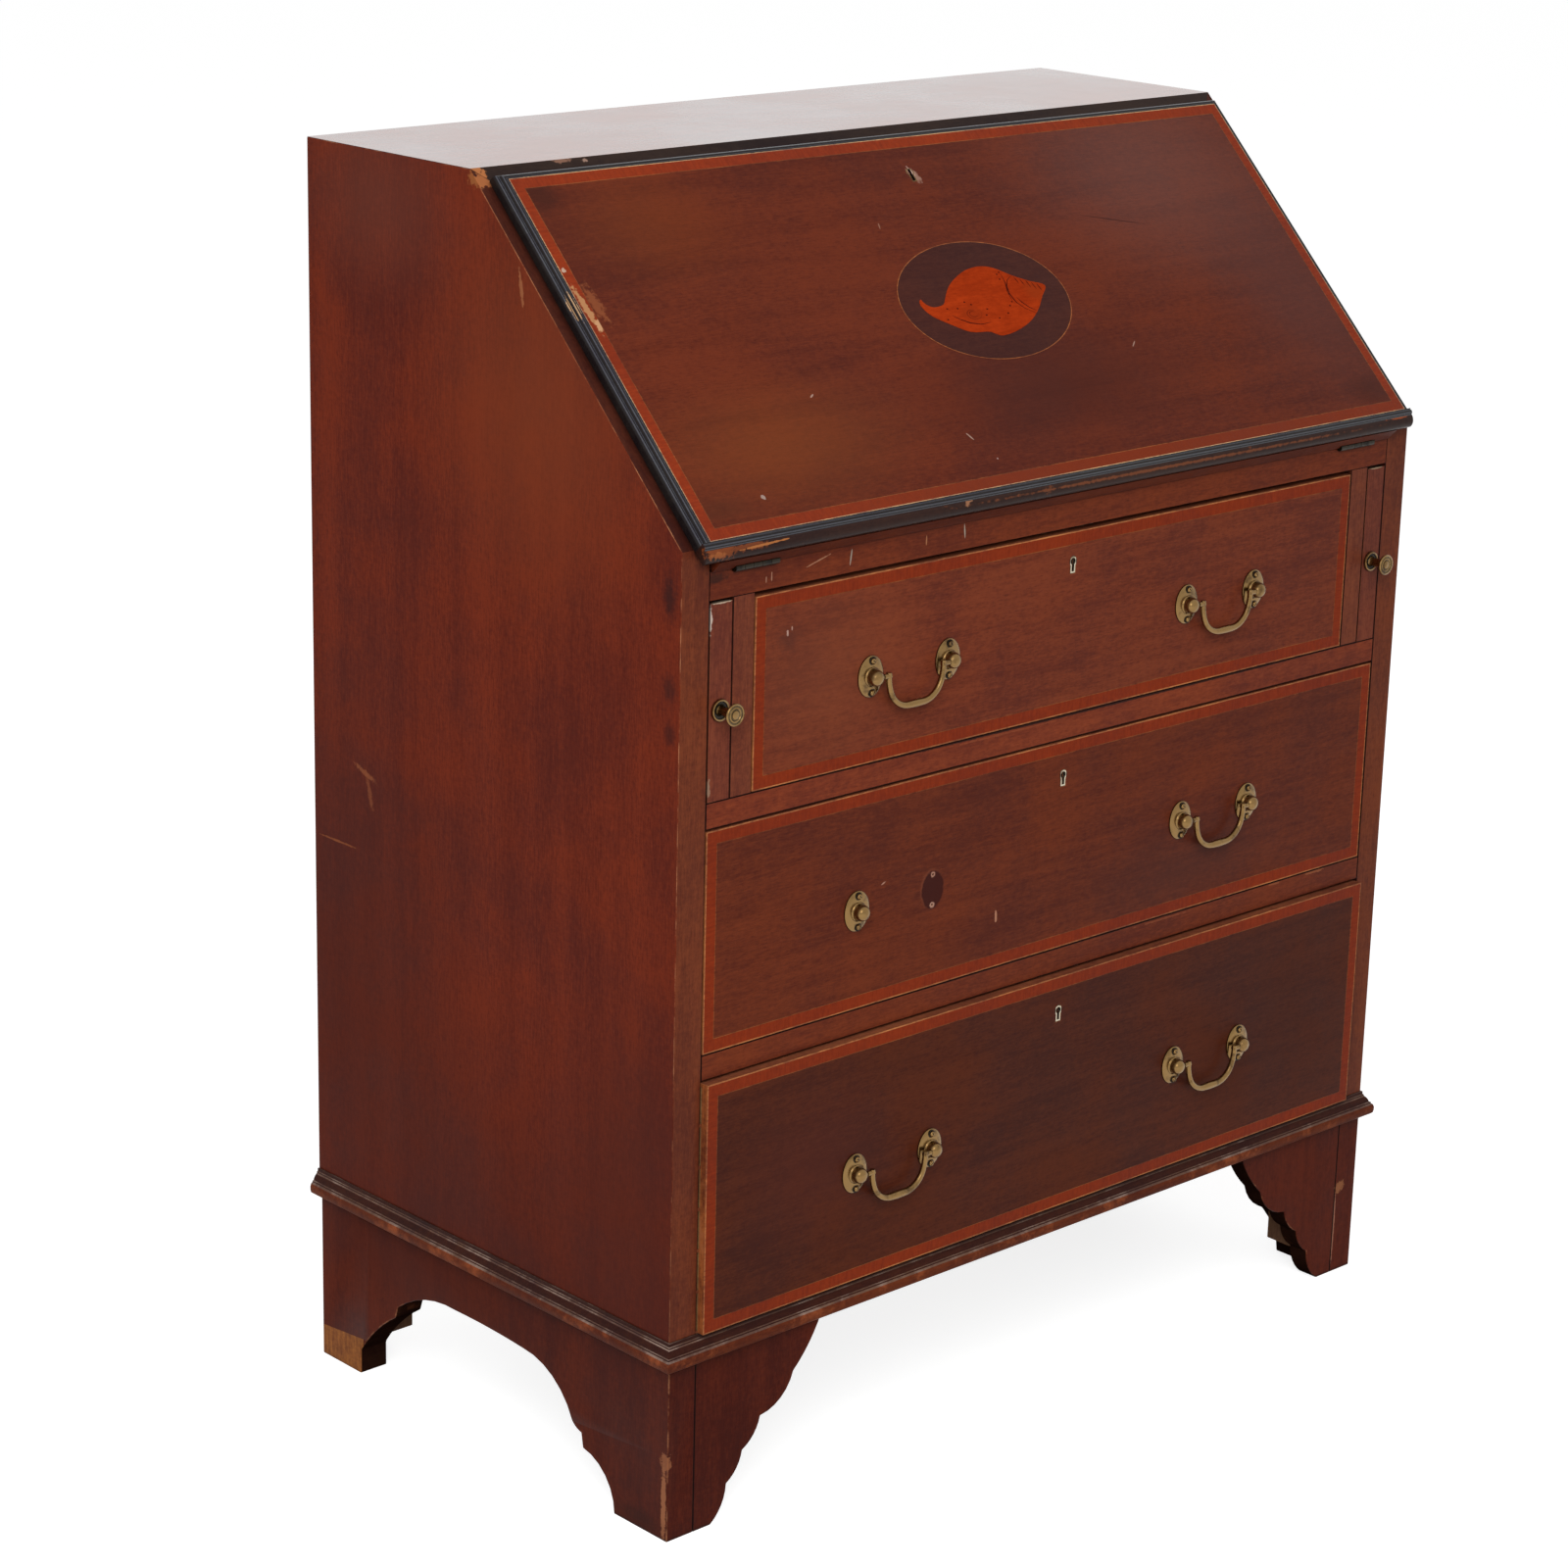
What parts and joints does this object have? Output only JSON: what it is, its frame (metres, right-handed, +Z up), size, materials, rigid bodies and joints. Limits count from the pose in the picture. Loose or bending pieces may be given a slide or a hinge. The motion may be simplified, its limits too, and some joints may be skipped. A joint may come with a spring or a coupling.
{
  "type": "secretary desk",
  "caption": "Slant-front secretary desk on bracket feet: long drawers below, pull-out slides and a fall-down writing lid over fitted pigeonholes.",
  "frame": {"origin": "on the floor, under the middle of the desk's own box", "axes": "+Z up, the drawers and the lid face -Y, +X to the right of someone facing away from the wall behind it, that is to the right in a front view"},
  "size_m": [0.777, 0.4311, 0.954],
  "materials": {
    "mahogany": "French-polished red mahogany veneer with faded and worn arrises",
    "carcass_wood": "unpolished secondary wood, planed",
    "dark_moulding": "dark stained and polished wood",
    "ebonised_moulding": "ebonised wood, polished, rubbed at the edges",
    "aged_brass": "cast brass with a dull brown patina, bright where it is handled",
    "lock_brass": "sheet brass, dulled",
    "leather": "dark green skiver with a tooled line"
  },
  "bodies": {
    "case": {"side_left": "mahogany", "side_right": "mahogany", "top_board": "mahogany", "back_boards": "carcass_wood", "writing_bed": "mahogany", "rail_upper": "mahogany", "rail_lower": "mahogany", "drawer_runners": "carcass_wood", "partitions": "mahogany", "bottom_board": "carcass_wood", "drawer_stops": "carcass_wood", "base_moulding": "dark_moulding", "bracket_left": "mahogany", "bracket_right": "mahogany", "brackets_front": "mahogany", "brackets_rear": "carcass_wood", "glue_blocks": "carcass_wood", "bed_hinge_leaves": "lock_brass", "hinge_pins": "lock_brass", "lock_strikes": "lock_brass", "pigeonhole_shelf": "carcass_wood", "pigeonhole_uprights": "carcass_wood", "pigeonhole_valances": "carcass_wood", "slide_stops": "carcass_wood"},
    "fall": {"fall_board": "mahogany", "fall_moulding": "ebonised_moulding", "writing_leather": "leather", "fall_lock": "lock_brass", "fall_hinge_leaves": "lock_brass"},
    "fall_bolt": {"fall_lock_bolt": "lock_brass"},
    "slide_left": {"loper_left": "mahogany", "loper_knob_left": "aged_brass"},
    "slide_right": {"loper_right": "mahogany", "loper_knob_right": "aged_brass"},
    "top_drawer": {"top_drawer_front": "mahogany", "top_drawer_sides": "carcass_wood", "top_drawer_bottom": "carcass_wood", "top_drawer_lock": "lock_brass", "top_drawer_plates": "aged_brass"},
    "top_bolt": {"top_lock_bolt": "lock_brass"},
    "middle_drawer": {"middle_drawer_front": "mahogany", "middle_drawer_sides": "carcass_wood", "middle_drawer_bottom": "carcass_wood", "middle_drawer_lock": "lock_brass", "middle_drawer_plates": "aged_brass"},
    "middle_bolt": {"middle_lock_bolt": "lock_brass"},
    "bottom_drawer": {"bottom_drawer_front": "mahogany", "bottom_drawer_sides": "carcass_wood", "bottom_drawer_bottom": "carcass_wood", "bottom_drawer_lock": "lock_brass", "bottom_drawer_plates": "aged_brass"},
    "bottom_bolt": {"bottom_lock_bolt": "lock_brass"},
    "top_bail_left": {"top_bail_left": "aged_brass"},
    "top_bail_right": {"top_bail_right": "aged_brass"},
    "middle_bail_right": {"middle_bail_right": "aged_brass"},
    "bottom_bail_left": {"bottom_bail_left": "aged_brass"},
    "bottom_bail_right": {"bottom_bail_right": "aged_brass"},
    "inner_drawer_left": {"inner_drawer_left": "carcass_wood"},
    "inner_drawer_right": {"inner_drawer_right": "carcass_wood"}
  },
  "joints": [
    {"name": "fall_hinge", "type": "hinge", "parent": "case", "child": "fall", "pos_m": [0, -0.2, 0.711], "axis": [1, 0, 0], "range_deg": [0, 135]},
    {"name": "fall_bolt_throw", "type": "slide", "parent": "fall", "child": "fall_bolt", "axis": [0, -0.7071, -0.7071], "range_m": [-0.011, 0]},
    {"name": "slide_left_pull", "type": "slide", "parent": "case", "child": "slide_left", "axis": [0, -1, 0], "range_m": [0, 0.25]},
    {"name": "slide_right_pull", "type": "slide", "parent": "case", "child": "slide_right", "axis": [0, -1, 0], "range_m": [0, 0.25]},
    {"name": "top_drawer_pull", "type": "slide", "parent": "case", "child": "top_drawer", "axis": [0, -1, 0], "range_m": [0, 0.28]},
    {"name": "top_bolt_throw", "type": "slide", "parent": "top_drawer", "child": "top_bolt", "axis": [0, 0, -1], "range_m": [-0.008, 0]},
    {"name": "middle_drawer_pull", "type": "slide", "parent": "case", "child": "middle_drawer", "axis": [0, -1, 0], "range_m": [0, 0.28]},
    {"name": "middle_bolt_throw", "type": "slide", "parent": "middle_drawer", "child": "middle_bolt", "axis": [0, 0, -1], "range_m": [-0.008, 0]},
    {"name": "bottom_drawer_pull", "type": "slide", "parent": "case", "child": "bottom_drawer", "axis": [0, -1, 0], "range_m": [-0.006, 0.28]},
    {"name": "bottom_bolt_throw", "type": "slide", "parent": "bottom_drawer", "child": "bottom_bolt", "axis": [0, 0, -1], "range_m": [-0.008, 0]},
    {"name": "top_bail_left_swing", "type": "hinge", "parent": "top_drawer", "child": "top_bail_left", "pos_m": [-0.165, -0.206, 0.613], "axis": [-1, 0, 0], "range_deg": [-9, 95]},
    {"name": "top_bail_right_swing", "type": "hinge", "parent": "top_drawer", "child": "top_bail_right", "pos_m": [0.165, -0.206, 0.613], "axis": [-1, 0, 0], "range_deg": [-9, 95]},
    {"name": "middle_bail_right_swing", "type": "hinge", "parent": "middle_drawer", "child": "middle_bail_right", "pos_m": [0.1715, -0.206, 0.441], "axis": [-1, 0, 0], "range_deg": [-9, 95]},
    {"name": "bottom_bail_left_swing", "type": "hinge", "parent": "bottom_drawer", "child": "bottom_bail_left", "pos_m": [-0.1715, -0.212, 0.242], "axis": [-1, 0, 0], "range_deg": [-9, 95]},
    {"name": "bottom_bail_right_swing", "type": "hinge", "parent": "bottom_drawer", "child": "bottom_bail_right", "pos_m": [0.1715, -0.212, 0.242], "axis": [-1, 0, 0], "range_deg": [-9, 95]},
    {"name": "inner_drawer_left_pull", "type": "slide", "parent": "case", "child": "inner_drawer_left", "axis": [0, -1, 0], "range_m": [0, 0.11]},
    {"name": "inner_drawer_right_pull", "type": "slide", "parent": "case", "child": "inner_drawer_right", "axis": [0, -1, 0], "range_m": [0, 0.11]}
  ]
}
